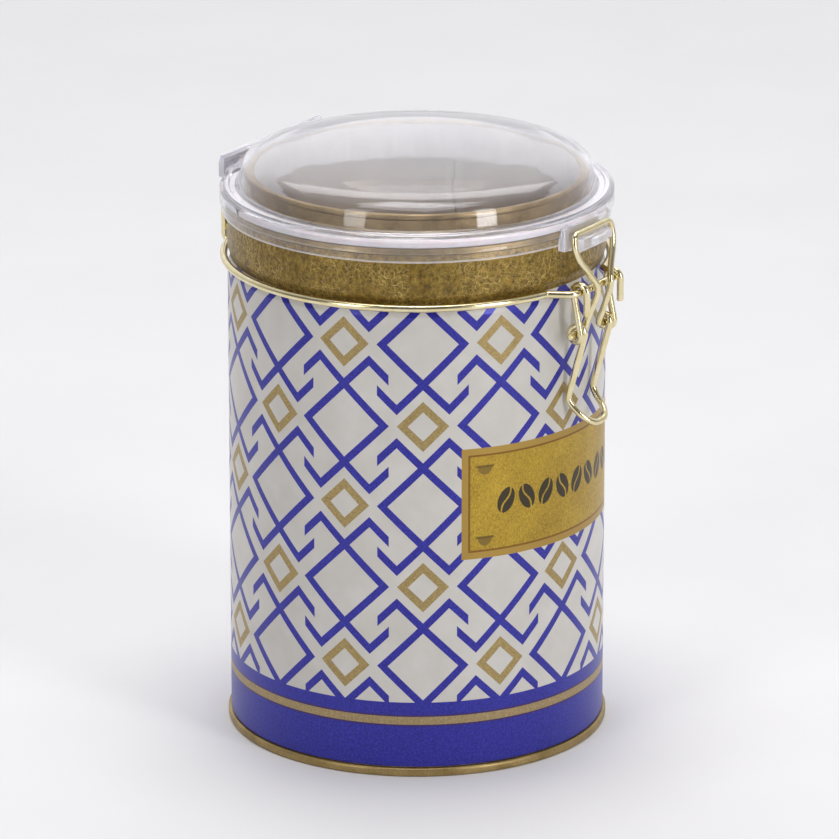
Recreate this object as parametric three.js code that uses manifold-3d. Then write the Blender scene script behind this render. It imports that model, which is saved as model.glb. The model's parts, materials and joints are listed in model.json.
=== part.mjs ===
// Round clip-top coffee tin: printed steel body, seamed base and shoulder, clear domed
// lid with a silicone seal, rear hinge wire, neck hoop and an over-centre wire clasp.
// Millimetres, +Z up, origin at the middle of the foot. The clasp faces -Y.
import * as THREE from 'three';
import { mergeVertices } from 'three/addons/utils/BufferGeometryUtils.js';
import Module from 'manifold-3d';

// Driving dimensions, mm
const BODY_R = 50;           // outside of the printed wall
const SHEET = 0.6;           // wall of the tin
const GAP = 0.3;             // clearance between neighbouring pieces
const RIM_H = 2.3;           // height of the base seam
const RIM_R = 50.8;          // outside of the base seam
const FOOT_R = 48.7;         // inside of the flat foot
const BODY_TOP = 143;        // top edge of the printed wall
const HOOP_Z = 129;          // height of the neck hoop and of the clasp axle
const HOOP_R = 51.1;         // centreline of the neck hoop
const HOOP_WIRE = 1.0;       // radius of the hoop wire
const MOUTH_R = 42.6;        // clear radius of the mouth
const MOUTH_TOP = 152.2;     // top of the mouth curl
const NECK_BOTTOM = 142.2;   // lower edge of the hem inside the mouth
const NECK_ROOT = 146.6;     // where the shoulder meets the neck
const SEAM_R = 50.2;         // outside of the top seam
const SKIRT_BOTTOM = 141.2;  // lower edge of the lid's skirt
const SKIRT_R = 51.5;        // outside of the skirt
const SKIRT_BORE = 50.9;     // inside of the skirt
const FLANGE_BOTTOM = 143.9; // lower edge of the thicker band of the lid
const FLANGE_R = 52;         // outside of that band
const FLANGE_TOP = 147.4;    // top edge of that band
const PLATE_UNDER = 147.2;   // underside of the flat ring of the lid
const PLATE_TOP = 148.3;     // top of the flat ring
const DOME_R = 47;           // outside of the dome at its foot
const DOME_TOP = 159.3;      // highest point of the dome
const LID_WALL = 1.2;        // wall of the dome
const HINGE_Y = 53.6;        // axis of the lid hinge
const HINGE_Z = 145;
const HINGE_HALF = 11;       // half the length of the hinge wire's crossbar
const HINGE_WIRE = 0.9;      // radius of the hinge wire
const AXLE_OUT = 55.7;       // distance of the clasp axle from the tin's axis
const AXLE_HALF = 14;        // where the hoop leaves the wall to become the axle
const EYE_X = 8.3;           // middle of the lever's eyes
const COIL_OUT = 54;         // distance of the lever's coils from the tin's axis
const COIL_Z = 117.3;
const COIL_PITCH = 2.1;      // sideways step of one coil turn
const LEVER_WIRE = 0.9;
const BAIL_WIRE = 0.85;
const BAIL_OUT = 54.1;       // distance of the bail's crossbar from the tin's axis
const BAIL_TOP = 144.3;
const LEDGE_TOP = 143;       // top of the lid ledge under the bail's crossbar
const HOOD_HALF = 23.3;      // half the length of the hood across the rear of the lid

// Tessellation
const ROUND = 48;            // sides of the turned pieces
const WIRE_SIDES = 5;        // curve divisions of a wire section, which give twice as many sides

const PLASTIC = { color: 0xe6e6ea, roughness: 0.15, metalness: 0 };
const BRASS = { color: 0xd9c489, roughness: 0.2, metalness: 1 };

const wasm = await Module();
wasm.setup();

const v3 = (x, y, z) => new THREE.Vector3(x, y, z);

function piece(name, geometry, look) {
  const mesh = new THREE.Mesh(geometry, new THREE.MeshStandardMaterial(look));
  mesh.name = name;
  return mesh;
}

// Turns a closed [radius, height] outline about the vertical axis.
function turned(outline) {
  const points = outline.map(([r, z]) => new THREE.Vector2(r, z));
  return new THREE.LatheGeometry(points, ROUND).rotateX(Math.PI / 2);
}

// Sweeps a round wire section along a path.
function wire(path, radius, steps) {
  const section = new THREE.Shape().absarc(0, 0, radius, 0, Math.PI * 2);
  return new THREE.ExtrudeGeometry(section, { steps, extrudePath: path, curveSegments: WIRE_SIDES });
}

// A polyline with its corners rounded off by quadratic bends.
function bentPath(points, bend) {
  const path = new THREE.CurvePath();
  let from = points[0];
  for (let i = 1; i < points.length - 1; i++) {
    const corner = points[i];
    const reach = Math.min(bend, corner.distanceTo(points[i - 1]) / 2, corner.distanceTo(points[i + 1]) / 2);
    const enter = corner.clone().lerp(points[i - 1], reach / corner.distanceTo(points[i - 1]));
    const leave = corner.clone().lerp(points[i + 1], reach / corner.distanceTo(points[i + 1]));
    path.add(new THREE.LineCurve3(from, enter));
    path.add(new THREE.QuadraticBezierCurve3(enter, corner, leave));
    from = leave;
  }
  path.add(new THREE.LineCurve3(from, points[points.length - 1]));
  return path;
}

// Points of one side of a symmetric wire, followed by their mirror images.
function mirrored(side) {
  const other = side.map((p) => v3(-p.x, p.y, p.z)).reverse();
  return [...side, ...other];
}

function toSolid(geometry) {
  const bare = geometry.clone();
  bare.deleteAttribute('normal');
  bare.deleteAttribute('uv');
  const merged = mergeVertices(bare, 1e-4);
  const index = merged.index ?? bare.index;
  return new wasm.Manifold(new wasm.Mesh({
    numProp: 3,
    vertProperties: Float32Array.from(merged.attributes.position.array),
    triVerts: Uint32Array.from(index.array),
  }));
}

function fromSolid(solid) {
  const mesh = solid.getMesh();
  const geometry = new THREE.BufferGeometry();
  geometry.setAttribute('position', new THREE.BufferAttribute(mesh.vertProperties, 3));
  geometry.setIndex(new THREE.BufferAttribute(mesh.triVerts, 1));
  geometry.computeVertexNormals();
  return geometry;
}

// A prism along X from an outline in the Y-Z plane, centred on x.
function prismX(outline, halfWidth, x = 0) {
  const shape = new THREE.Shape(outline.map(([y, z]) => new THREE.Vector2(y, z)));
  const prism = new THREE.ExtrudeGeometry(shape, { depth: halfWidth * 2, bevelEnabled: false });
  // extruded along Z with (y, z) drawn as (x, y): turn so that the length lies along X
  prism.applyMatrix4(new THREE.Matrix4().makeBasis(v3(0, 1, 0), v3(0, 0, 1), v3(1, 0, 0)));
  prism.translate(x - halfWidth, 0, 0);
  return prism;
}

// Printed wall with a shallow rolled groove that seats the neck hoop.
function bodyShell() {
  const bottom = RIM_H + GAP;
  const grooveR = BODY_R - 0.6;
  const inner = BODY_R - SHEET;
  return turned([
    [inner, bottom], [BODY_R, bottom],
    [BODY_R, HOOP_Z - 2.6], [grooveR, HOOP_Z - 1], [grooveR, HOOP_Z + 1], [BODY_R, HOOP_Z + 2.6],
    [BODY_R, BODY_TOP], [inner, BODY_TOP],
    [inner, HOOP_Z + 2.6], [grooveR - SHEET, HOOP_Z + 1], [grooveR - SHEET, HOOP_Z - 1],
    [inner, HOOP_Z - 2.6], [inner, bottom],
  ]);
}

// Base plate with its rolled seam, raised clear of the floor.
function baseEnd() {
  const plug = BODY_R - SHEET - GAP;
  const panel = 3;
  return turned([
    [0, panel], [30, panel], [32, panel + 0.5], [FOOT_R - 1, panel + 0.5],
    [FOOT_R - 0.3, 0.3], [FOOT_R, 0], [RIM_R - 0.3, 0], [RIM_R, 0.3],
    [RIM_R, RIM_H - 0.3], [RIM_R - 0.3, RIM_H], [plug, RIM_H], [plug - 0.4, panel + 0.5 + SHEET],
    [31.6, panel + 0.5 + SHEET], [29.6, panel + SHEET], [0, panel + SHEET],
  ]);
}

// Low sloping shoulder from the top seam to the neck, whose mouth is curled out and hemmed inside.
function shoulderRing() {
  const bottom = BODY_TOP + GAP;
  const hem = MOUTH_R + SHEET;
  const neck = hem + SHEET;
  const curl = neck + 0.6;
  return turned([
    [SEAM_R - 1, bottom], [SEAM_R, bottom], [SEAM_R, bottom + 1.2], [SEAM_R - 0.4, bottom + 1.6],
    [neck, NECK_ROOT], [neck, MOUTH_TOP - 1.8], [curl, MOUTH_TOP - 1.3], [curl, MOUTH_TOP - 0.5],
    [neck, MOUTH_TOP], [MOUTH_R + 0.5, MOUTH_TOP], [MOUTH_R, MOUTH_TOP - 0.5],
    [MOUTH_R, NECK_BOTTOM], [hem, NECK_BOTTOM], [hem, NECK_ROOT - SHEET],
    [SEAM_R - 0.65, bottom + 1.05], [SEAM_R - 1, bottom],
  ]);
}

// Wedge ring of the seal: flat against the lid, sloping over the shoulder.
function lidGasket() {
  const inner = DOME_R + 0.4;
  const outer = SKIRT_BORE - GAP;
  const low = BODY_TOP + GAP + 1.6;
  const slope = (NECK_ROOT - low) / (SEAM_R - 0.4 - MOUTH_R - SHEET * 2);
  const seatZ = (r) => low + (SEAM_R - 0.4 - r) * slope + 0.35;
  return turned([
    [inner, seatZ(inner)], [outer, seatZ(outer)], [outer, PLATE_UNDER - GAP],
    [inner, PLATE_UNDER - GAP], [inner, seatZ(inner)],
  ]);
}

// One side of the dome as [radius, height] points from the axis to the foot.
function domeOutline(inset) {
  const top = DOME_TOP - inset;
  return [
    [0, top], [16, top - 0.4], [30, top - 1.4], [39, top - 2.6], [43.2, top - 3.7],
    [45.4 - inset, top - 5 + inset], [46.4 - inset, top - 6.8 + inset],
  ];
}

function lidTurning() {
  const inside = domeOutline(LID_WALL);
  const outside = domeOutline(0).reverse();
  return turned([
    ...inside, [DOME_R - LID_WALL, PLATE_UNDER], [SKIRT_BORE, PLATE_UNDER],
    [SKIRT_BORE, SKIRT_BOTTOM], [SKIRT_R - 0.2, SKIRT_BOTTOM], [SKIRT_R, SKIRT_BOTTOM + 0.3],
    [SKIRT_R, FLANGE_BOTTOM - 0.3], [FLANGE_R, FLANGE_BOTTOM], [FLANGE_R, FLANGE_TOP],
    [FLANGE_R - 0.7, FLANGE_TOP + 0.6], [DOME_R, PLATE_TOP], ...outside,
  ]);
}

// Ledge and side wings at the front of the skirt, open above for the bail's crossbar.
function frontLug() {
  const wing = [[-50.2, 139.9], [-50.2, 146.4], [-52.3, 146], [-52.7, 141], [-52.3, 139.9]];
  const ledge = [[-50.2, 139.4], [-50.2, LEDGE_TOP], [-56, LEDGE_TOP], [-56, 140.6], [-54.8, 139.4]];
  const nose = [[-55, 139.5], [-55, LEDGE_TOP - 0.15], [-57, LEDGE_TOP - 0.5], [-57, 140.7]];
  return [
    toSolid(prismX(wing, 10.6)), toSolid(prismX(ledge, 7.2)), toSolid(prismX(nose, 3.4)),
  ];
}

// Straight hood behind the dome, a short roof from it, and the block that turns on the hinge wire.
function rearHood() {
  const hood = [[45.2, 147.6], [45.4, 152.9], [45.9, 153.7], [46.8, 153.6], [47.3, 151.4], [47.5, 147.6]];
  const roof = [[46.8, 147.9], [46.8, 151.6], [47.7, 151.8], [54.1, 148.4], [53.4, 146.8], [50.95, 146.8]];
  const block = [[51.2, 147.2], [53.9, 148.4], [56.4, 147], [56.8, 144], [55.4, 142.6],
    [52.6, 142.6], [51.5, 143.7]];
  return [
    toSolid(prismX(hood, HOOD_HALF)), toSolid(prismX(roof, HINGE_HALF - 2)),
    toSolid(prismX(block, HINGE_HALF - 2)),
  ];
}

function lid() {
  const cavity = turned([...domeOutline(LID_WALL), [DOME_R - LID_WALL, PLATE_UNDER],
    [SKIRT_BORE, PLATE_UNDER], [SKIRT_BORE, 130], [0, 130]].reverse());
  const boreRadius = HINGE_WIRE + GAP;
  const bore = new THREE.CylinderGeometry(boreRadius, boreRadius, HINGE_HALF * 3, 12).rotateZ(Math.PI / 2)
    .translate(0, HINGE_Y, HINGE_Z);
  const rearRelief = prismX([[38, 130], [38, 146.4], [52.1, 146.4], [52.1, 130]], 31);
  let solid = toSolid(lidTurning()).subtract(toSolid(rearRelief));
  for (const lug of [...frontLug(), ...rearHood()]) solid = solid.add(lug);
  solid = solid.subtract(toSolid(cavity)).subtract(toSolid(bore));
  return fromSolid(solid);
}

// Hoop round the neck. Its ends step outwards and become the axle of the clasp.
function neckHoop() {
  const startAngle = Math.asin(AXLE_HALF / HOOP_R);
  const turns = 72;
  const points = [v3(-5, -AXLE_OUT, HOOP_Z), v3(-10.6, -AXLE_OUT, HOOP_Z)];
  for (let i = 0; i <= turns; i++) {
    const angle = startAngle + (Math.PI * 2 - startAngle * 2) * (i / turns);
    points.push(v3(-HOOP_R * Math.sin(angle), -HOOP_R * Math.cos(angle), HOOP_Z));
  }
  points.push(v3(10.6, -AXLE_OUT, HOOP_Z), v3(-4.3, -AXLE_OUT, HOOP_Z));
  return wire(bentPath(points, 1.6), HOOP_WIRE, 150);
}

// Crossbar in the lid, with legs that run down outside the hoop and hook under it.
function hingeWire() {
  const legY = HINGE_Y + 0.4;
  const side = [
    v3(HINGE_HALF, 50.6, HOOP_Z - 2.8), v3(HINGE_HALF, legY, HOOP_Z - 2.3),
    v3(HINGE_HALF, legY, 137), v3(HINGE_HALF, HINGE_Y, HINGE_Z),
  ];
  return wire(bentPath(mirrored(side), 1.3), HINGE_WIRE, 50);
}

// Lever: eyes over the axle, one coil turn in each leg and a turned-out finger loop.
function claspLever() {
  const hook = HOOP_WIRE + LEVER_WIRE + 0.2;
  const coil = BAIL_WIRE + LEVER_WIRE + 0.2;
  const coilSteps = 12;
  const side = [v3(EYE_X, -(AXLE_OUT + hook), HOOP_Z - 6)];
  for (let i = 0; i <= 6; i++) {
    const a = Math.PI * (i / 6);
    side.push(v3(EYE_X, -(AXLE_OUT + hook * Math.cos(a)), HOOP_Z + hook * Math.sin(a)));
  }
  for (let i = 0; i <= coilSteps + 1; i++) {
    const a = Math.PI * 2 * ((i - 0.5) / coilSteps);
    const x = EYE_X - COIL_PITCH * Math.min(Math.max((i - 0.5) / coilSteps, 0), 1);
    side.push(v3(x, -(COIL_OUT + coil * Math.cos(a)), COIL_Z - coil * Math.sin(a)));
  }
  const gripX = EYE_X - COIL_PITCH;
  side.push(
    v3(gripX, -50.9, 99), v3(gripX - 0.2, -51.9, 97.2), v3(gripX - 0.9, -55, 94.2), v3(2.6, -56.9, 92.2),
  );
  return wire(bentPath(mirrored(side), 0.9), LEVER_WIRE, 150);
}

// Bail: ends through the lever's coils, legs over the axle, crossbar over the lid's ledge.
function claspBail() {
  const side = [
    v3(10.8, -COIL_OUT, COIL_Z), v3(3.6, -COIL_OUT, COIL_Z), v3(3.6, -54.4, 118.6), v3(3.2, -57.9, 128),
    v3(3.2, -57.9, 130.2), v3(4.8, -56.9, 132.8), v3(8.4, -55.4, 137.6), v3(9.4, -54.6, 141.2),
    v3(8.7, -BAIL_OUT, BAIL_TOP),
  ];
  return wire(bentPath(mirrored(side), 1.5), BAIL_WIRE, 96);
}

const tin = new THREE.Group();
tin.add(
  piece('body_shell', bodyShell(), { color: 0xd3d0cd, roughness: 0.35, metalness: 0.3 }),
  piece('base_end', baseEnd(), { color: 0x967d4b, roughness: 0.35, metalness: 0.9 }),
  piece('shoulder_ring', shoulderRing(), { color: 0xa08a58, roughness: 0.4, metalness: 0.9 }),
  piece('lid', lid(), PLASTIC),
  piece('lid_gasket', lidGasket(), { color: 0xf0eee8, roughness: 0.5, metalness: 0 }),
  piece('neck_hoop', neckHoop(), BRASS),
  piece('hinge_wire', hingeWire(), BRASS),
  piece('clasp_lever', claspLever(), BRASS),
  piece('clasp_bail', claspBail(), BRASS),
);

export default tin;
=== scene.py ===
"""Looks of the clip-top coffee tin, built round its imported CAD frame.

Metres, +Z up, origin in the middle of the foot, clasp towards -Y, hinge towards +Y.
Outlines are written in millimetres as (radius, height) or (y, z) and scaled when a mesh is made.
"""
import json
import math

import bmesh
import bpy
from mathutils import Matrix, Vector


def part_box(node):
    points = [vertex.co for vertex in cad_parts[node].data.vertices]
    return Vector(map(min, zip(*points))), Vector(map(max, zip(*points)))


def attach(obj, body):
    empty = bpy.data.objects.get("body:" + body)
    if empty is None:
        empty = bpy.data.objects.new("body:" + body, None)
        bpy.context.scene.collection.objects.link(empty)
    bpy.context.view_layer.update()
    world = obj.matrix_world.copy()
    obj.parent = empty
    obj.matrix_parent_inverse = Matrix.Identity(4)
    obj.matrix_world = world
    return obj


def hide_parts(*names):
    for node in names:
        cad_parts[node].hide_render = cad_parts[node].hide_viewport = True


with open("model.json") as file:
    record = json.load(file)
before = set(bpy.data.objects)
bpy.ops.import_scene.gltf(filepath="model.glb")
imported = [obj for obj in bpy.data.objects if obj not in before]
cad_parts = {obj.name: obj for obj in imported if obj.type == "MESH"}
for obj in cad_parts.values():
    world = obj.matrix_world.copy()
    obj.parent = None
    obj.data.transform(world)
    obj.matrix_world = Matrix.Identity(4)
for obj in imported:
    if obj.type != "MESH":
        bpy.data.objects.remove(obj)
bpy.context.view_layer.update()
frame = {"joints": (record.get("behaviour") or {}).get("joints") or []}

MM = 0.001
SEGMENTS = 256              # steps round a turned piece
TAU = math.tau


# ---------------------------------------------------------------- sizes in mm, most from the frame

def low(node, axis):
    """Lowest coordinate of a CAD node along x, y or z."""
    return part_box(node)[0]["xyz".index(axis)] / MM


def high(node, axis):
    """Highest coordinate of a CAD node along x, y or z."""
    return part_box(node)[1]["xyz".index(axis)] / MM


joint = {j["name"]: [c / MM for c in j["pos_m"]] for j in frame["joints"]}
HINGE_Y, HINGE_Z = joint["lid_hinge"][1:]
AXLE_OUT, HOOP_Z = -joint["lever_swing"][1], joint["lever_swing"][2]
COIL_OUT, COIL_Z = -joint["bail_swing"][1], joint["bail_swing"][2]

BODY_R = high("body_shell", "x")
BODY_TOP = high("body_shell", "z")
BODY_BOTTOM = low("body_shell", "z")
RIM_R = high("base_end", "x")
RIM_H = 2.3
FOOT_R = 48.7               # inner edge of the ring that the tin stands on
PANEL_Z = 3.0               # underside of the raised base panel
SHEET = 0.6
SEAM_GAP = 0.3              # between the wall and the rolled ends
GROOVE_DEPTH = 0.6
SEAM_R = high("shoulder_ring", "x")
MOUTH_TOP = high("shoulder_ring", "z")
MOUTH_R = 42.6
NECK_BOTTOM = low("shoulder_ring", "z")
NECK_ROOT = 146.6
LID_R = high("lid", "x")
DOME_TOP = high("lid", "z")
HOOP_WIRE = (high("neck_hoop", "z") - low("neck_hoop", "z")) / 2
HOOP_R = high("neck_hoop", "x") - HOOP_WIRE
HOOP_LEAVES = 14            # distance from the middle where the hoop leaves the groove
HINGE_WIRE = 0.9
HINGE_HALF = high("hinge_wire", "x") - HINGE_WIRE
LEVER_WIRE = 0.9
COIL_PITCH = 2.1
EYE_GAP = 0.2               # play between a wire and the eye or coil round it
EYE_X = high("clasp_lever", "x") - LEVER_WIRE
BAIL_WIRE = 0.85
BAIL_TOP = high("clasp_bail", "z") - BAIL_WIRE

# Printed design, mm up the wall and degrees round it from the clasp towards +X
SIDE_SEAM = 111.3           # where the wall is welded and the pattern wraps
COLUMNS = 15
FIRST_COLUMN = -55.2
REPEAT = 44.1               # height of one repeat of the lattice
GOLD_ROW = 52.6             # height of a gold diamond in an even column
GOLD_HALF = 5.4             # from the middle of a gold diamond to its corner
BLUE_HALF = 10.7            # from the middle of a blue diamond to its corner
ARM_TURN = 24.4             # where an arm turns back, as the sum of across and up
ARM_END = 12.0              # where an arm stops, across
STROKE = 1.4                # half the width of a stroke, measured across or up
GOLD_STROKE = 1.42
STRIPE_LOW, STRIPE_HIGH = 14.4, 16.6
STRIPE_LINE = 0.45          # dark line above and below the stripe
LATTICE_LOW = 20.6
COLLAR_LOW = 129.4
PLATE_LOW, PLATE_HIGH = 59.7, 90.0
PLATE_MIDDLE = (PLATE_LOW + PLATE_HIGH) / 2
PLATE_HALF = 43.6           # half the width of the plate, degrees
PLATE_BORDER = 1.9
BEAN_STEP = 6.4
BEANS_EACH_SIDE = 4


# ---------------------------------------------------------------- node arithmetic

class Num:
    """A value in a node tree, so that a pattern reads as arithmetic."""

    def __init__(self, tree, socket):
        self.tree, self.socket = tree, socket

    def op(self, operation, *others):
        node = self.tree.nodes.new("ShaderNodeMath")
        node.operation = operation
        for slot, value in zip(node.inputs, (self, *others)):
            if isinstance(value, Num):
                self.tree.links.new(value.socket, slot)
            else:
                slot.default_value = value
        return Num(self.tree, node.outputs[0])

    def __add__(self, other):
        return self.op("ADD", other)

    def __sub__(self, other):
        return self.op("SUBTRACT", other)

    def __rsub__(self, other):
        return (self * -1) + other

    def __mul__(self, other):
        return self.op("MULTIPLY", other)

    def __truediv__(self, other):
        return self.op("DIVIDE", other)

    __radd__ = __add__
    __rmul__ = __mul__

    def __abs__(self):
        return self.op("ABSOLUTE")

    def below(self, limit):
        return self.op("LESS_THAN", limit)

    def above(self, limit):
        return self.op("GREATER_THAN", limit)

    def between(self, low_end, high_end):
        return self.above(low_end) * self.below(high_end)

    def either(self, other):
        return self.op("MAXIMUM", other)

    def without(self, other):
        return self * (1 - other)


class Paint:
    """One procedural material: its tree, its shader and helpers for textures and colours."""

    def __init__(self, name, **sockets):
        self.material = bpy.data.materials.new(name)
        self.material.use_nodes = True
        self.tree = self.material.node_tree
        self.shader = self.tree.nodes["Principled BSDF"]
        for key, value in sockets.items():
            self.shader.inputs[key.replace("_", " ")].default_value = value
        self.place = self.tree.nodes.new("ShaderNodeTexCoord").outputs["Object"]

    def axes(self):
        """Object coordinates as three numbers in mm."""
        split = self.tree.nodes.new("ShaderNodeSeparateXYZ")
        self.tree.links.new(self.place, split.inputs[0])
        return [Num(self.tree, out) / MM for out in split.outputs]

    def noise(self, size, detail=3.0, stretch=(1, 1, 1), roughness=0.55):
        """Noise about 0.5 whose features are about size mm across."""
        mapping = self.tree.nodes.new("ShaderNodeMapping")
        mapping.inputs["Scale"].default_value = stretch
        self.tree.links.new(self.place, mapping.inputs["Vector"])
        node = self.tree.nodes.new("ShaderNodeTexNoise")
        node.inputs["Scale"].default_value = 1 / (size * MM)
        node.inputs["Detail"].default_value = detail
        node.inputs["Roughness"].default_value = roughness
        self.tree.links.new(mapping.outputs[0], node.inputs["Vector"])
        return Num(self.tree, node.outputs["Fac"])

    def cracks(self, size, width):
        """1 along the edges of irregular cells about size mm across."""
        node = self.tree.nodes.new("ShaderNodeTexVoronoi")
        node.feature = "DISTANCE_TO_EDGE"
        node.inputs["Scale"].default_value = 1 / (size * MM)
        self.tree.links.new(self.place, node.inputs["Vector"])
        return Num(self.tree, node.outputs["Distance"]).below(width / size)

    def mix(self, amount, a, b):
        """Colour a where amount is 0 and b where it is 1. Colours are sRGB triples or sockets."""
        node = self.tree.nodes.new("ShaderNodeMix")
        node.data_type = "RGBA"
        self.tree.links.new(amount.socket, node.inputs["Factor"])
        for slot, value in (("A", a), ("B", b)):
            socket = next(s for s in node.inputs if s.name == slot and s.type == "RGBA")
            if isinstance(value, tuple):
                socket.default_value = linear(value)
            else:
                self.tree.links.new(value, socket)
        return next(s for s in node.outputs if s.type == "RGBA")

    def ramp(self, value, start, end):
        """0 below start, 1 above end."""
        node = self.tree.nodes.new("ShaderNodeMapRange")
        self.tree.links.new(value.socket, node.inputs["Value"])
        node.inputs["From Min"].default_value = start
        node.inputs["From Max"].default_value = end
        return Num(self.tree, node.outputs[0])

    def wire(self, value, socket):
        self.tree.links.new(value.socket if isinstance(value, Num) else value, self.shader.inputs[socket])

    def bump(self, height, depth, strength=1.0):
        """Relief of height 0 to 1 standing depth mm."""
        node = self.tree.nodes.new("ShaderNodeBump")
        node.inputs["Strength"].default_value = strength
        node.inputs["Distance"].default_value = depth * MM
        self.tree.links.new(height.socket, node.inputs["Height"])
        self.tree.links.new(node.outputs[0], self.shader.inputs["Normal"])


def linear(colour):
    """sRGB 0-255 triple to linear RGBA."""
    parts = [c / 255 for c in colour]
    return (*[p / 12.92 if p <= 0.04045 else ((p + 0.055) / 1.055) ** 2.4 for p in parts], 1)


# ---------------------------------------------------------------- materials

PAPER = (206, 203, 198)
PAPER_WARM = (197, 193, 186)
BLUE = (48, 50, 170)
BLUE_DEEP = (36, 32, 134)
GOLD = (178, 156, 104)
GOLD_DARK = (148, 126, 78)
STRIPE = (176, 156, 116)
STRIPE_DARK = (150, 128, 88)
LEAF = (146, 118, 44)
LEAF_DARK = (86, 66, 20)
PLATE = (194, 162, 54)
PLATE_DARK = (144, 114, 30)
PLATE_EDGE = (168, 136, 62)
PLATE_LINE = (128, 88, 26)
STUD = (112, 90, 40)
STUD_LIP = (90, 70, 30)
CRACK = (204, 178, 108)
STRIPE_EDGE = (62, 36, 92)
CHIP = (222, 220, 224)
INK = (46, 40, 32)


def lattice(turn, height):
    """Masks of the blue strokes and the gold diamonds of the printed lattice."""
    pitch = TAU / COLUMNS
    width = BODY_R * pitch
    steps = (turn - math.radians(FIRST_COLUMN)) / pitch
    column = steps.op("ROUND")
    across = abs(steps - column) * width
    odd = column.op("FLOORED_MODULO", 2.0)
    phase = (height - GOLD_ROW) / REPEAT + odd * 0.5
    up = abs(phase.op("FLOORED_MODULO", 1.0) - 0.5) * REPEAT
    gold = abs(across + (REPEAT / 2 - up) - GOLD_HALF).below(GOLD_STROKE)

    def strokes(a, b):
        """Big diamond and the hooked arms of one column; b is 0 at the diamond's middle."""
        diamond = abs(a + b - BLUE_HALF).below(STROKE)
        arm = abs((b - a - BLUE_HALF).op("MAXIMUM", a + b - ARM_TURN)).below(STROKE)
        return diamond.either(arm * a.below(ARM_END))

    blue = strokes(across, up).either(strokes(width - across, REPEAT / 2 - up))
    return blue, gold


def bean_row(turn, height):
    """A row of roasted beans, each an oval with a curved crease."""
    along = turn * BODY_R
    cell = (along / BEAN_STEP).op("ROUND")
    x = along - cell * BEAN_STEP
    y = height - PLATE_MIDDLE
    lean = 1 - cell.op("FLOORED_MODULO", 2.0) * 2
    slant = lean * 0.42
    p = x - y * slant
    q = y + x * slant
    oval = ((p / 2.55) * (p / 2.55) + (q / 3.9) * (q / 3.9)).below(1.0)
    crease = abs(p - (q * 0.8).op("SINE") * lean * 0.5).below(0.28)
    return oval.without(crease) * abs(cell).below(BEANS_EACH_SIDE + 0.5)


def half_round(turn, height, at_x, at_z):
    """A half-round stud head, flat side up."""
    x = abs(turn * BODY_R) - at_x
    y = height - at_z
    bowl = ((x / 2.0) * (x / 2.0) + (y / 2.2) * (y / 2.2)).below(1.0) * y.below(0.0)
    lip = abs(x).below(2.45) * abs(y - 0.1).below(0.3)
    return bowl, lip


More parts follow.
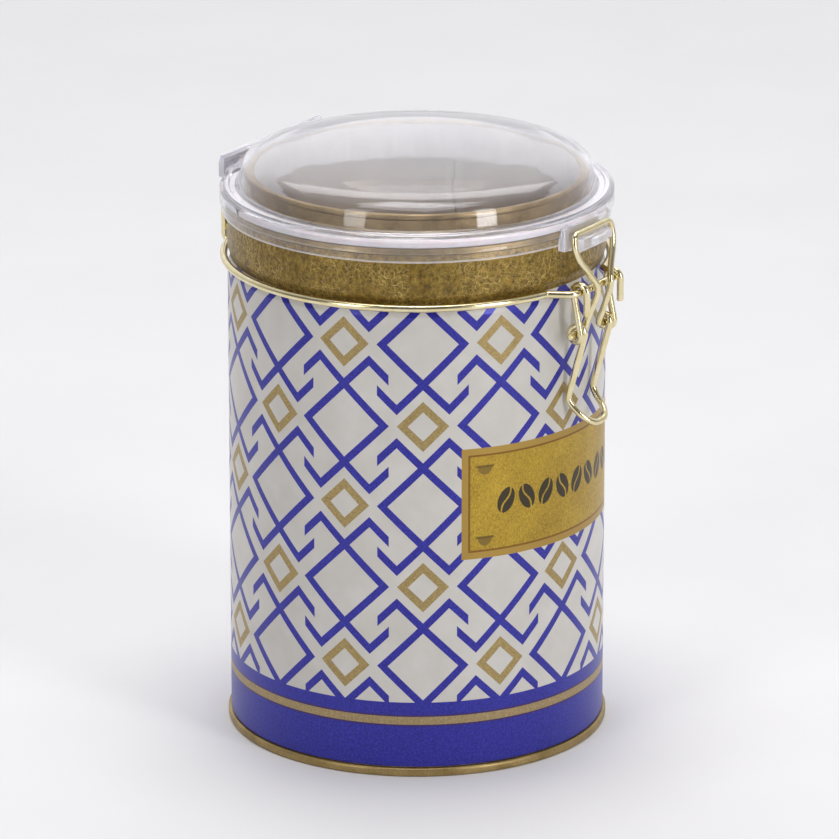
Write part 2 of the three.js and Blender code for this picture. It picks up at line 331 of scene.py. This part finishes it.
def printed_wall():
    """Blue and gold lattice on warm grey, base band, gold collar and label plate."""
    paint = Paint("printed_tinplate", Roughness=0.34, Coat_Weight=0.1, Coat_Roughness=0.14)
    x, y, height = paint.axes()
    seam = math.radians(SIDE_SEAM)
    turn = x.op("ARCTAN2", y * -1).op("WRAP", seam, seam - TAU)
    blue, gold = lattice(turn, height)
    in_lattice = height.above(LATTICE_LOW)
    blue = (blue * in_lattice).either(1 - in_lattice)
    stripe = height.between(STRIPE_LOW, STRIPE_HIGH)
    stripe_edge = height.between(STRIPE_LOW - STRIPE_LINE, STRIPE_HIGH + STRIPE_LINE).without(stripe)
    speckle = paint.noise(0.5, 2)
    cloud = paint.noise(9)
    streak = paint.noise(0.9, 4, (1, 1, 0.16))
    grain = paint.noise(0.35, 3, (1, 1, 0.5))
    chip = paint.noise(2.4, 4, roughness=0.7).above(0.765) * in_lattice.below(0.5)

    colour = paint.mix(paint.ramp(cloud, 0.3, 0.7), PAPER, PAPER_WARM)
    blues = paint.mix(paint.ramp(speckle, 0.38, 0.66), BLUE_DEEP, BLUE)
    colour = paint.mix(blue, colour, blues)
    golds = paint.mix(paint.ramp(speckle, 0.35, 0.7), GOLD_DARK, GOLD)
    colour = paint.mix(gold * in_lattice, colour, golds)
    band = paint.mix(paint.ramp(speckle, 0.35, 0.7), STRIPE_DARK, STRIPE)
    colour = paint.mix(stripe, colour, band)
    colour = paint.mix(stripe_edge, colour, STRIPE_EDGE)
    colour = paint.mix(chip, colour, CHIP)

    plate = abs(turn).below(math.radians(PLATE_HALF)) * height.between(PLATE_LOW, PLATE_HIGH)
    reach = math.radians(PLATE_HALF) * BODY_R
    edge_x = reach - abs(turn * BODY_R)
    edge_z = (PLATE_HIGH - PLATE_LOW) / 2 - abs(height - PLATE_MIDDLE)
    inset = edge_x.op("MINIMUM", edge_z)
    worn = paint.ramp(grain * 0.5 + speckle * 0.3 + cloud * 0.2, 0.38, 0.62)
    brass = paint.mix(worn, PLATE_DARK, PLATE)
    brass = paint.mix(inset.below(PLATE_BORDER), brass, PLATE_EDGE)
    brass = paint.mix(abs(inset - PLATE_BORDER - 0.15).below(0.27), brass, PLATE_LINE)
    for stud_z in (PLATE_HIGH - 5.2, PLATE_LOW + 5.6):
        bowl, lip = half_round(turn, height, reach - 6.4, stud_z)
        brass = paint.mix(bowl * 0.8, brass, STUD)
        brass = paint.mix(lip * 0.8, brass, STUD_LIP)
    brass = paint.mix(bean_row(turn, height) * 0.96, brass, INK)
    colour = paint.mix(plate, colour, brass)

    collar = height.above(COLLAR_LOW)
    mottle = paint.noise(1.3, 5, roughness=0.7)
    leaf = paint.mix(paint.ramp(mottle * 0.75 + streak * 0.25, 0.4, 0.6), LEAF_DARK, LEAF)
    broken = paint.noise(0.9, 3).above(0.47)
    crackle = (paint.cracks(1.7, 0.06) * broken).either(paint.cracks(0.85, 0.04) * 0.55)
    leaf = paint.mix(crackle * paint.ramp(cloud, 0.35, 0.6) * 0.75, leaf, CRACK)
    colour = paint.mix(collar, colour, leaf)

    metal = (gold * in_lattice).either(stripe).either(collar).either(plate)
    paint.wire(colour, "Base Color")
    paint.wire((metal * 0.55).op("MAXIMUM", blue * 0.35), "Metallic")
    paint.wire(0.3 + grain * 0.12 + metal * 0.06, "Roughness")
    paint.bump(cloud * 0.5 + grain * 0.12 - chip * 0.5, 0.06)
    return paint.material


def gold_rim():
    """Gold lacquer of the base seam."""
    paint = Paint("gold_tinplate", Metallic=0.75, Roughness=0.36)
    grain = paint.noise(0.4, 4)
    cloud = paint.noise(6)
    colour = paint.mix(paint.ramp(grain * 0.5 + cloud * 0.5, 0.34, 0.66), (138, 114, 66), (182, 158, 106))
    paint.wire(colour, "Base Color")
    paint.wire(0.28 + grain * 0.22, "Roughness")
    paint.bump(grain, 0.03)
    return paint.material


def shoulder_gold():
    """Gold lacquer of the shoulder and neck, duller than the seam's."""
    paint = Paint("shoulder_gold", Metallic=0.7, Roughness=0.38)
    grain = paint.noise(0.5, 4)
    cloud = paint.noise(5)
    colour = paint.mix(paint.ramp(grain * 0.4 + cloud * 0.6, 0.36, 0.62), (122, 102, 62), (164, 142, 96))
    paint.wire(colour, "Base Color")
    paint.wire(0.3 + grain * 0.2, "Roughness")
    paint.bump(grain, 0.03)
    return paint.material


def inner_lacquer():
    """Warm grey lacquer inside the can, with the side weld as a thin dark line."""
    paint = Paint("inner_lacquer", Metallic=0.25, Roughness=0.42)
    x, y = paint.axes()[:2]
    seam = math.radians(SIDE_SEAM)
    off = x * math.cos(seam) + y * math.sin(seam)
    near = (x * math.sin(seam) - y * math.cos(seam)).above(0.0)
    wander = (paint.noise(6) - 0.5) * 0.8
    weld = abs(off + wander).below(0.28) * near
    strip = abs(off).below(2.4) * near
    cloud = paint.noise(12)
    colour = paint.mix(paint.ramp(cloud, 0.3, 0.7), (176, 159, 135), (190, 174, 150))
    colour = paint.mix(strip * 0.35, colour, (196, 184, 164))
    colour = paint.mix(weld * 0.7, colour, (120, 108, 92))
    paint.wire(colour, "Base Color")
    paint.wire(0.36 + cloud * 0.14, "Roughness")
    paint.bump(strip * 0.5 + weld + cloud * 0.3, 0.08)
    return paint.material


def clear_plastic(name, clarity):
    """Clear styrene, milkier along its edges. Light for what it covers passes straight through."""
    paint = Paint(name, Roughness=0.04, IOR=1.45, Transmission_Weight=1.0)
    cloud = paint.noise(14)
    fine = paint.noise(1.2, 4)
    colour = paint.mix(paint.ramp(cloud, 0.3, 0.7), (244, 243, 250), (251, 250, 254))
    paint.wire(colour, "Base Color")
    paint.wire(0.03 + paint.ramp(fine, 0.45, 0.8) * 0.05, "Roughness")
    paint.bump(cloud, 0.04)
    nodes, links = paint.tree.nodes, paint.tree.links
    rim_haze = Num(paint.tree, nodes.new("ShaderNodeLayerWeight").outputs["Facing"]).op("POWER", 3.0)
    paint.wire(clarity - cloud * 0.03 - rim_haze * 0.4, "Transmission Weight")
    path = nodes.new("ShaderNodeLightPath")
    through = nodes.new("ShaderNodeBsdfTransparent")
    through.inputs["Color"].default_value = (0.9, 0.9, 0.91, 1)
    choose = nodes.new("ShaderNodeMixShader")
    links.new(path.outputs["Is Shadow Ray"], choose.inputs[0])
    links.new(paint.shader.outputs[0], choose.inputs[1])
    links.new(through.outputs[0], choose.inputs[2])
    links.new(choose.outputs[0], nodes["Material Output"].inputs["Surface"])
    return paint.material


def hem_lacquer():
    """Pale lacquer of the hem inside the mouth."""
    paint = Paint("hem_lacquer", Metallic=0.2, Roughness=0.3)
    cloud = paint.noise(8)
    streak = paint.noise(1.5, 4, (1, 1, 0.2))
    colour = paint.mix(paint.ramp(cloud * 0.5 + streak * 0.5, 0.35, 0.65), (206, 203, 200), (226, 224, 222))
    paint.wire(colour, "Base Color")
    paint.wire(0.26 + streak * 0.12, "Roughness")
    paint.bump(streak, 0.03)
    return paint.material


def silicone():
    """Milky silicone of the seal."""
    paint = Paint("seal_silicone", Roughness=0.42, Subsurface_Weight=0.3, Subsurface_Scale=0.002)
    cloud = paint.noise(4)
    paint.wire(paint.mix(paint.ramp(cloud, 0.3, 0.7), (202, 198, 196), (214, 211, 210)), "Base Color")
    paint.wire(0.36 + cloud * 0.12, "Roughness")
    paint.bump(cloud, 0.03)
    return paint.material


def plated_wire():
    """Pale gold plating of the wires."""
    paint = Paint("gold_wire", Metallic=1.0, Roughness=0.2)
    wear = paint.noise(3)
    grain = paint.noise(0.3, 3)
    colour = paint.mix(paint.ramp(wear, 0.35, 0.7), (226, 212, 164), (236, 226, 190))
    paint.wire(colour, "Base Color")
    paint.wire(0.12 + grain * 0.16, "Roughness")
    paint.bump(grain * 0.4 + wear * 0.6, 0.03)
    return paint.material


# ---------------------------------------------------------------- mesh making

def finish_piece(name, mesh, materials, body, nodes, sharp=32):
    """A bmesh becomes a smooth-shaded object that rides on its body and replaces its CAD nodes."""
    bmesh.ops.recalc_face_normals(mesh, faces=mesh.faces)
    data = bpy.data.meshes.new(name)
    mesh.to_mesh(data)
    mesh.free()
    for material in materials:
        data.materials.append(material)
    data.shade_smooth()
    data.set_sharp_from_angle(angle=math.radians(sharp))
    piece = bpy.data.objects.new(name, data)
    bpy.context.scene.collection.objects.link(piece)
    if body:
        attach(piece, body)
        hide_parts(*nodes)
    return piece


def rounded(corners, steps=5):
    """A closed outline from (a, b, radius) corners, each rounded off by an arc."""
    outline = []
    for i, (a, b, radius) in enumerate(corners):
        here = Vector((a, b))
        before = Vector(corners[i - 1][:2]) - here
        after = Vector(corners[(i + 1) % len(corners)][:2]) - here
        if radius <= 0 or before.length < 1e-6 or after.length < 1e-6:
            outline.append((a, b))
            continue
        half = before.angle(after) / 2
        reach = min(radius / math.tan(half), before.length * 0.48, after.length * 0.48)
        start = here + before.normalized() * reach
        end = here + after.normalized() * reach
        for k in range(steps + 1):
            t = k / steps
            point = start * (1 - t) ** 2 + here * 2 * t * (1 - t) + end * t ** 2
            outline.append((point.x, point.y))
    return outline


def turned(outline, segments=SEGMENTS):
    """A bmesh of a closed (radius, height) outline in mm turned about Z."""
    mesh = bmesh.new()
    rings = []
    for r, z in outline:
        count = 1 if r < 1e-6 else segments
        ring = []
        for i in range(count):
            turn = TAU * i / count
            ring.append(mesh.verts.new((r * MM * math.sin(turn), -r * MM * math.cos(turn), z * MM)))
        rings.append(ring)
    for ring, following in zip(rings, rings[1:] + rings[:1]):
        for i in range(segments):
            j = (i + 1) % segments
            corners = [ring[i % len(ring)], ring[j % len(ring)]]
            corners += [following[j % len(following)], following[i % len(following)]]
            face = list(dict.fromkeys(corners))
            if len(face) > 2:
                mesh.faces.new(face)
    return mesh


def prism(outline, half, edge=0.35):
    """A bmesh of a (y, z) outline in mm, 2 half mm long about x = 0, with eased edges."""
    mesh = bmesh.new()
    left = [mesh.verts.new((-half * MM, y * MM, z * MM)) for y, z in outline]
    right = [mesh.verts.new((half * MM, y * MM, z * MM)) for y, z in outline]
    mesh.faces.new(left)
    mesh.faces.new(right[::-1])
    for i in range(len(outline)):
        j = (i + 1) % len(outline)
        mesh.faces.new((left[j], left[i], right[i], right[j]))
    ends = [e for e in mesh.edges if abs(e.verts[0].co.x - e.verts[1].co.x) < 1e-9]
    if edge:
        bmesh.ops.bevel(mesh, geom=ends, offset=edge * MM, segments=3, profile=0.5, affect="EDGES")
    bmesh.ops.recalc_face_normals(mesh, faces=mesh.faces)
    return mesh


def bent(points, bend, steps=8):
    """Points along a polyline in mm with its corners rounded off over bend mm."""
    points = [Vector(p) for p in points]
    path = [points[0]]
    for before, corner, after in zip(points, points[1:], points[2:]):
        reach = min(bend, (before - corner).length / 2, (after - corner).length / 2)
        start = corner + (before - corner).normalized() * reach
        end = corner + (after - corner).normalized() * reach
        for k in range(steps + 1):
            t = k / steps
            path.append(start * (1 - t) ** 2 + corner * 2 * t * (1 - t) + end * t ** 2)
    path.append(points[-1])
    return [p for i, p in enumerate(path) if i == 0 or (p - path[i - 1]).length > 0.02]


def tube(path, radius, sides=20, ease=0.3):
    """A bmesh of a round wire along a path in mm, its cut ends eased."""
    start, end = path[0], path[-1]
    lead_in = (path[1] - start).normalized()
    lead_out = (path[-2] - end).normalized()
    offsets = [(0, 1.0), (0.12, 0.52), (0.4, 0.2), (1.0, 0.0)]
    head = [(start + lead_in * ease * s, radius - ease * cut) for s, cut in offsets]
    tail = [(end + lead_out * ease * s, radius - ease * cut) for s, cut in reversed(offsets)]
    stations = head + [(p, radius) for p in path[1:-1]] + tail
    mesh = bmesh.new()
    rings = []
    side = None
    for i, (point, size) in enumerate(stations):
        ahead = stations[min(i + 1, len(stations) - 1)][0]
        behind = stations[max(i - 1, 0)][0]
        tangent = (ahead - behind).normalized()
        if side is None:
            side = tangent.orthogonal().normalized()
        side = (side - tangent * side.dot(tangent)).normalized()
        other = tangent.cross(side)
        ring = []
        for k in range(sides):
            turn = TAU * k / sides
            offset = side * (size * math.cos(turn)) + other * (size * math.sin(turn))
            ring.append(mesh.verts.new((point + offset) * MM))
        rings.append(ring)
    for ring, following in zip(rings, rings[1:]):
        for k in range(sides):
            m = (k + 1) % sides
            mesh.faces.new((ring[k], ring[m], following[m], following[k]))
    mesh.faces.new(rings[0])
    mesh.faces.new(rings[-1])
    return mesh


def mirrored(side):
    """A wire's points, then their mirror images in the plane x = 0, back to front."""
    return side + [(-x, y, z) for x, y, z in reversed(side)]


# ---------------------------------------------------------------- the can

def body_shell(outside, inside):
    """The printed wall, with the groove for the hoop pressed into it."""
    inner = BODY_R - SHEET
    groove = BODY_R - GROOVE_DEPTH
    corners = [
        (inner, BODY_BOTTOM, 0), (BODY_R, BODY_BOTTOM, 0.15),
        (BODY_R, HOOP_Z - 2.8, 1.2), (groove, HOOP_Z - 1.1, 0.9), (groove, HOOP_Z + 1.1, 0.9),
        (BODY_R, HOOP_Z + 2.8, 1.2), (BODY_R, BODY_TOP, 0.15), (inner, BODY_TOP, 0),
        (inner, HOOP_Z + 2.8, 1.2), (groove - SHEET, HOOP_Z + 1.1, 0.9),
        (groove - SHEET, HOOP_Z - 1.1, 0.9), (inner, HOOP_Z - 2.8, 1.2),
    ]
    mesh = turned(rounded(corners))
    bmesh.ops.recalc_face_normals(mesh, faces=mesh.faces)
    for face in mesh.faces:
        centre = face.calc_center_median()
        face.material_index = int(face.normal.x * centre.x + face.normal.y * centre.y < 0)
    finish_piece("body_shell_printed", mesh, [outside, inside], "can", ["body_shell"])


def base_end(gold, inside):
    """The base panel, raised clear of the table, and its rolled seam."""
    plug = BODY_R - SHEET - SEAM_GAP
    foot, panel = FOOT_R, PANEL_Z
    step = panel + 0.5
    corners = [
        (0, panel, 0), (12, panel, 0.5), (13, panel + 0.25, 0.5), (22, panel + 0.25, 0.5),
        (23, panel, 0.5), (30, panel, 0.6), (32, step, 0.6), (foot - 1, step, 0.5), (foot - 0.2, 0, 0.4),
        (RIM_R, 0, 0.75), (RIM_R, RIM_H, 0.75), (plug, RIM_H, 0.2), (plug - 0.4, step + SHEET, 0.4),
        (31.6, step + SHEET, 0.6), (29.6, panel + SHEET, 0.6), (23, panel + SHEET, 0.5),
        (22, panel + SHEET + 0.2, 0.5), (13, panel + SHEET + 0.2, 0.5), (12, panel + SHEET, 0.5),
        (0, panel + SHEET, 0),
    ]
    mesh = turned(rounded(corners))
    for face in mesh.faces:
        centre = face.calc_center_median()
        within = math.hypot(centre.x, centre.y) / MM < plug + 0.1
        face.material_index = int(within and centre.z / MM > step + 0.05)
    finish_piece("base_end_rolled", mesh, [gold, inside], "can", ["base_end"])


def shoulder_ring(gold, inside, hem_inside):
    """Seam ring, low slope, neck, curled mouth and the hem that runs down inside it."""
    bottom = BODY_TOP + SEAM_GAP
    hem = MOUTH_R + SHEET
    neck = hem + SHEET
    corners = [
        (SEAM_R - 1, bottom, 0.2), (SEAM_R, bottom, 0.25), (SEAM_R, bottom + 1.5, 0.6),
        (neck, NECK_ROOT, 0.8), (neck, MOUTH_TOP - 1.8, 0.3), (neck + 0.6, MOUTH_TOP - 1.4, 0.5),
        (neck + 0.6, MOUTH_TOP, 0.7), (MOUTH_R, MOUTH_TOP, 0.7), (MOUTH_R, NECK_BOTTOM, 0.25),
        (hem, NECK_BOTTOM, 0.25), (hem, NECK_ROOT - SHEET, 0.3), (SEAM_R - 0.75, bottom + 0.95, 0.2),
    ]
    mesh = turned(rounded(corners))
    for face in mesh.faces:
        centre = face.calc_center_median()
        radius = math.hypot(centre.x, centre.y) / MM
        within = radius < hem + 0.1 and centre.z / MM < MOUTH_TOP - 0.7
        under = face.normal.z < -0.3 and centre.z / MM > bottom + 0.4
        face.material_index = 2 if within else int(under)
    materials = [gold, inside, hem_inside]
    finish_piece("shoulder_ring_curled", mesh, materials, "can", ["shoulder_ring"])


def neck_hoop(wire):
    """The hoop round the groove; its ends step out in front and meet as the clasp's axle."""
    leave = math.asin(HOOP_LEAVES / HOOP_R)
    turns = 240
    points = [(-5, -AXLE_OUT, HOOP_Z), (-10.4, -AXLE_OUT, HOOP_Z)]
    for i in range(turns + 1):
        angle = leave + (TAU - 2 * leave) * i / turns
        points.append((-HOOP_R * math.sin(angle), -HOOP_R * math.cos(angle), HOOP_Z))
    points += [(10.4, -AXLE_OUT, HOOP_Z), (-4.3, -AXLE_OUT, HOOP_Z)]
    mesh = tube(bent(points, 2.2), HOOP_WIRE)
    finish_piece("neck_hoop_wire", mesh, [wire], "can", ["neck_hoop"])


def hinge_wire(wire):
    """Two legs standing on the hoop behind, joined by the crossbar that the lid turns on."""
    leg_y = HINGE_Y + 0.4
    side = [
        (HINGE_HALF, 50.6, HOOP_Z - 2.8), (HINGE_HALF, leg_y, HOOP_Z - 2.3), (HINGE_HALF, leg_y, 137),
        (HINGE_HALF, HINGE_Y, HINGE_Z),
    ]
    mesh = tube(bent(mirrored(side), 1.6), HINGE_WIRE)
    finish_piece("hinge_wire_bent", mesh, [wire], "can", ["hinge_wire"])


# ---------------------------------------------------------------- the clasp

def clasp_lever(wire):
    """From an eye round the axle, down through a coil round the bail's end, to the finger loop."""
    hook = HOOP_WIRE + LEVER_WIRE + EYE_GAP
    coil = BAIL_WIRE + LEVER_WIRE + EYE_GAP
    side = [(EYE_X, -(AXLE_OUT + hook), HOOP_Z - 6)]
    for i in range(13):
        a = math.pi * i / 12
        side.append((EYE_X, -(AXLE_OUT + hook * math.cos(a)), HOOP_Z + hook * math.sin(a)))
    steps = 36
    for i in range(-2, steps + 3):
        a = TAU * i / steps
        x = EYE_X - COIL_PITCH * min(max(i / steps, 0), 1)
        side.append((x, -(COIL_OUT + coil * math.cos(a)), COIL_Z - coil * math.sin(a)))
    grip = EYE_X - COIL_PITCH
    side += [(grip, -50.9, 99), (grip - 0.2, -51.9, 97.2), (grip - 0.9, -55, 94.2), (2.6, -56.9, 92.2)]
    mesh = tube(bent(mirrored(side), 2.4), LEVER_WIRE)
    finish_piece("clasp_lever_wire", mesh, [wire], "lever", ["clasp_lever"])


def clasp_bail(wire):
    """From a stub in the lever's coil, up and outwards to the crossbar over the ledge."""
    side = [
        (10.8, -COIL_OUT, COIL_Z), (3.6, -COIL_OUT, COIL_Z), (3.6, -54.4, 118.6), (3.2, -57.9, 128),
        (3.2, -57.9, 130.2), (4.8, -56.9, 132.8), (8.4, -55.4, 137.6), (9.4, -54.6, 141.2),
        (8.7, -54.1, BAIL_TOP),
    ]
    mesh = tube(bent(mirrored(side), 1.8), BAIL_WIRE)
    finish_piece("clasp_bail_wire", mesh, [wire], "bail", ["clasp_bail"])


# ---------------------------------------------------------------- the lid

LID_SEGMENTS = 192
LID_WALL = 1.2
DOME_R = 47.0
SKIRT_BORE = 50.9
SKIRT_R = 51.5
SKIRT_BOTTOM = 141.2
LIP_TOP = 141.8             # top of the skirt's lower edge, made milky white there as a painted highlight for the bright line along it
FLANGE_BOTTOM = 144.1
FLANGE_TOP = 147.4
PLATE_UNDER = 147.2
GAP_HALF = 31               # half the width of the skirt's gap over the hinge
GAP_TOP = 146.4
HOOD_HALF = 23.3
BELOW_LID = 130             # clear of the lid's lowest point


def dome(inset):
    """Outline of the dome from the axis to its foot, moved in by inset mm."""
    top = DOME_TOP - inset
    points = [(r, top - 1.75 * (r / 32) ** 2, 0) for r in range(0, 36, 4)]
    shoulder = [(36, 2.3), (39.5, 2.8), (42.2, 3.4), (44.3, 4.2), (45.7, 5.3), (46.3, 6.6)]
    points += [(r - inset * 0.8, top - drop, 0) for r, drop in shoulder]
    return points


def lid_outline():
    """Section of the lid: dome, flat ring with a low rib, flange and skirt."""
    inside = dome(LID_WALL)
    outside = dome(0)[::-1]
    corners = inside + [
        (DOME_R - LID_WALL, PLATE_UNDER, 0.3), (SKIRT_BORE, PLATE_UNDER, 0.3),
        (SKIRT_BORE, SKIRT_BOTTOM, 0.15), (SKIRT_R - 0.1, SKIRT_BOTTOM, 0.3),
        (SKIRT_R - 0.09, LIP_TOP, 0), (SKIRT_R, FLANGE_BOTTOM - 0.5, 0.3),
        (LID_R, FLANGE_BOTTOM, 0.3), (LID_R, FLANGE_TOP, 0.5), (50.9, 147.9, 0.3), (50.7, 148.3, 0.3),
        (49.6, 148.3, 0.3), (49.4, 148.0, 0.3), (DOME_R + 0.9, 148.0, 0.3),
        (DOME_R + 0.5, 148.4, 0.3), (DOME_R, 148.6, 0.4),
    ] + outside
    return rounded(corners)


def cut(target, tool, operation):
    """Boolean of two bmeshes, both used up, through Blender's exact solver."""
    objects = []
    for name, mesh in (("target", target), ("tool", tool)):
        bmesh.ops.recalc_face_normals(mesh, faces=mesh.faces)
        data = bpy.data.meshes.new(name)
        mesh.to_mesh(data)
        mesh.free()
        obj = bpy.data.objects.new(name, data)
        bpy.context.scene.collection.objects.link(obj)
        objects.append(obj)
    modifier = objects[0].modifiers.new("cut", "BOOLEAN")
    modifier.operation = operation
    modifier.solver = "EXACT"
    modifier.object = objects[1]
    graph = bpy.context.evaluated_depsgraph_get()
    result = bmesh.new()
    result.from_object(objects[0], graph)
    for obj in objects:
        data = obj.data
        bpy.data.objects.remove(obj)
        bpy.data.meshes.remove(data)
    return result


def front_lug():
    """The ledge that the bail hooks over, with a wing each side and a nose in front."""
    top = BAIL_TOP - 1.3
    wing = [(-50.2, 139.9), (-50.2, 146.4), (-52.3, 146), (-52.7, 141), (-52.3, 139.9)]
    ledge = [(-50.2, 139.4), (-50.2, top), (-56, top), (-56, 140.6), (-54.8, 139.4)]
    nose = [(-55, 139.5), (-55, top - 0.15), (-57, top - 0.5), (-57, 140.7)]
    return [prism(wing, 10.6, 0.4), prism(ledge, 7.2, 0.4), prism(nose, 3.4, 0.4)]


def rear_hood():
    """The upright hood at the back, its short roof and the block that the hinge wire runs through."""
    hood = [(45.2, 147.6), (45.4, 152.9), (45.9, 153.7), (46.8, 153.6), (47.3, 151.4), (47.5, 147.6)]
    roof = [(46.8, 147.9), (46.8, 151.6), (47.7, 151.8), (54.1, 148.4), (53.4, 146.8), (50.95, 146.8)]
    block = [(51.2, 147.2), (53.9, 148.4), (56.4, 147), (56.8, 144), (55.4, 142.6), (52.6, 142.6),
             (51.5, 143.7)]
    knuckle = HINGE_HALF - 2
    return [prism(hood, HOOD_HALF, 0.3), prism(roof, knuckle, 0.3), prism(block, knuckle, 0.4)]


def lid(plastic, thick_plastic_painted_glint):
    """The turned shell with its gap over the hinge, its lugs and the bore for the hinge wire."""
    mesh = turned(lid_outline(), LID_SEGMENTS)
    gap = [(38, BELOW_LID), (38, GAP_TOP), (52.1, GAP_TOP), (52.1, BELOW_LID)]
    relief = prism(gap, GAP_HALF, 0)
    mesh = cut(mesh, relief, "DIFFERENCE")
    for lug in front_lug() + rear_hood():
        mesh = cut(mesh, lug, "UNION")
    room = [(r, z) for r, z, _ in dome(LID_WALL)]
    room += [(DOME_R - LID_WALL, PLATE_UNDER), (SKIRT_BORE, PLATE_UNDER), (SKIRT_BORE, BELOW_LID),
             (0, BELOW_LID)]
    mesh = cut(mesh, turned(room, LID_SEGMENTS), "DIFFERENCE")
    axis = [Vector((x, HINGE_Y, HINGE_Z)) for x in (-30, 0, 30)]
    mesh = cut(mesh, tube(axis, HINGE_WIRE + 0.3), "DIFFERENCE")
    for face in mesh.faces:
        centre = face.calc_center_median() / MM
        hood = centre.y > DOME_R - 1.4 and centre.z > 148.8
        lugs = abs(centre.y) > LID_R + 0.1
        # Hood, lugs and the skirt's lower edge get the milkier plastic; its white is partly a painted
        # highlight standing in for their bright edges and inner reflections
        face.material_index = int(hood or lugs or centre.z < LIP_TOP)
    finish_piece("lid_clear", mesh, [plastic, thick_plastic_painted_glint], "lid", ["lid"], sharp=28)


def gasket(material):
    """The seal, a ring between the lid's flat ring and the shoulder's slope."""
    inner, outer = DOME_R + 0.4, SKIRT_BORE - 0.3
    seam_top = BODY_TOP + 1.9
    slope = (NECK_ROOT - seam_top) / (SEAM_R - 0.4 - MOUTH_R - SHEET * 2)
    top = PLATE_UNDER - 0.3

    def seat(r):
        """Height of the shoulder's slope at radius r, with a little room."""
        return seam_top + (SEAM_R - 0.4 - r) * slope + 0.35

    corners = [(inner, seat(inner), 0.15), (outer, seat(outer), 0.3), (outer, top, 0.4), (inner, top, 0.2)]
    mesh = turned(rounded(corners))
    finish_piece("lid_gasket_ring", mesh, [material], "lid", ["lid_gasket"])


# ---------------------------------------------------------------- studio

VIEW_TURN = math.radians(-57)     # where the camera stands round the tin
VIEW_DISTANCE = 1.71175           # level distance from the tin's axis
VIEW_HEIGHT = 0.64758
VIEW_PITCH = 0.319                # radians below level
VIEW_YAW = 0.00039                # radians to the right of the tin's axis
LENS_MM = 290.66


def camera():
    """The camera, a little above the tin and looking down at it."""
    data = bpy.data.cameras.new("camera")
    data.lens = LENS_MM
    data.sensor_width = 36
    data.clip_end = 20
    obj = bpy.data.objects.new("camera", data)
    bpy.context.scene.collection.objects.link(obj)
    obj.location = (math.sin(VIEW_TURN) * VIEW_DISTANCE, -math.cos(VIEW_TURN) * VIEW_DISTANCE, VIEW_HEIGHT)
    obj.rotation_euler = (math.pi / 2 - VIEW_PITCH, 0, VIEW_TURN - VIEW_YAW)
    bpy.context.scene.camera = obj


def softbox(name, place, size, power, aim=(0, 0, 0.09)):
    """A rectangular soft light that faces its aim."""
    data = bpy.data.lights.new(name, "AREA")
    data.shape = "RECTANGLE"
    data.size, data.size_y = size
    data.energy = power
    obj = bpy.data.objects.new(name, data)
    bpy.context.scene.collection.objects.link(obj)
    obj.location = place
    obj.rotation_euler = (Vector(aim) - Vector(place)).to_track_quat("-Z", "Y").to_euler()


def around(turn, distance, height):
    """A place turn degrees to the right of the camera, seen from above the tin."""
    angle = VIEW_TURN + math.radians(turn)
    return (math.sin(angle) * distance, -math.cos(angle) * distance, height)


def studio():
    """Soft lights and a pale world, dimmer on the camera's side, over a plain paper floor."""
    world = bpy.data.worlds.new("studio")
    world.use_nodes = True
    bpy.context.scene.world = world
    bpy.context.scene.view_settings.view_transform = "Standard"
    nodes, links = world.node_tree.nodes, world.node_tree.links
    facing = nodes.new("ShaderNodeVectorMath")
    facing.operation = "DOT_PRODUCT"
    facing.inputs[1].default_value = (math.sin(VIEW_TURN), -math.cos(VIEW_TURN), -0.4)
    links.new(nodes.new("ShaderNodeTexCoord").outputs["Generated"], facing.inputs[0])
    dim = nodes.new("ShaderNodeMapRange")
    links.new(facing.outputs["Value"], dim.inputs["Value"])
    for socket, value in (("From Min", -0.95), ("From Max", 0.1), ("To Min", 0.98), ("To Max", 0.14)):
        dim.inputs[socket].default_value = value
    links.new(dim.outputs[0], nodes["Background"].inputs["Strength"])
    nodes["Background"].inputs["Color"].default_value = (0.98, 0.98, 1.0, 1)
    softbox("overhead", (0, 0, 1.6), (0.9, 0.9), 13)
    softbox("left_front", around(-40, 1.5, 0.7), (0.4, 1.1), 5)
    softbox("right_front", around(45, 1.7, 0.6), (0.4, 1.1), 12)
    softbox("backdrop", around(180, 2.0, 2.2), (2.4, 1.2), 14, around(180, 1.9, 0))

    paper = Paint("floor_paper", Roughness=0.7)
    paper.wire(paper.mix(paper.noise(60), (222, 221, 223), (228, 227, 228)), "Base Color")
    floor = bmesh.new()
    bmesh.ops.create_grid(floor, x_segments=8, y_segments=8, size=6)
    sheet = finish_piece("floor", floor, [paper.material], None, ())


# ---------------------------------------------------------------- build

wall = printed_wall()
rim = gold_rim()
shoulder = shoulder_gold()
lacquer = inner_lacquer()
wire_gold = plated_wire()

body_shell(wall, lacquer)
base_end(rim, lacquer)
shoulder_ring(shoulder, lacquer, hem_lacquer())
neck_hoop(wire_gold)
hinge_wire(wire_gold)
clasp_lever(wire_gold)
clasp_bail(wire_gold)
# The second, milkier plastic is partly painted light: a painted highlight on the hood, lugs and lower skirt
# edge
lid(clear_plastic("clear_plastic", 0.99), clear_plastic("clear_plastic_thick_painted_glint", 0.72))
gasket(silicone())
camera()
studio()

bpy.context.view_layer.update()
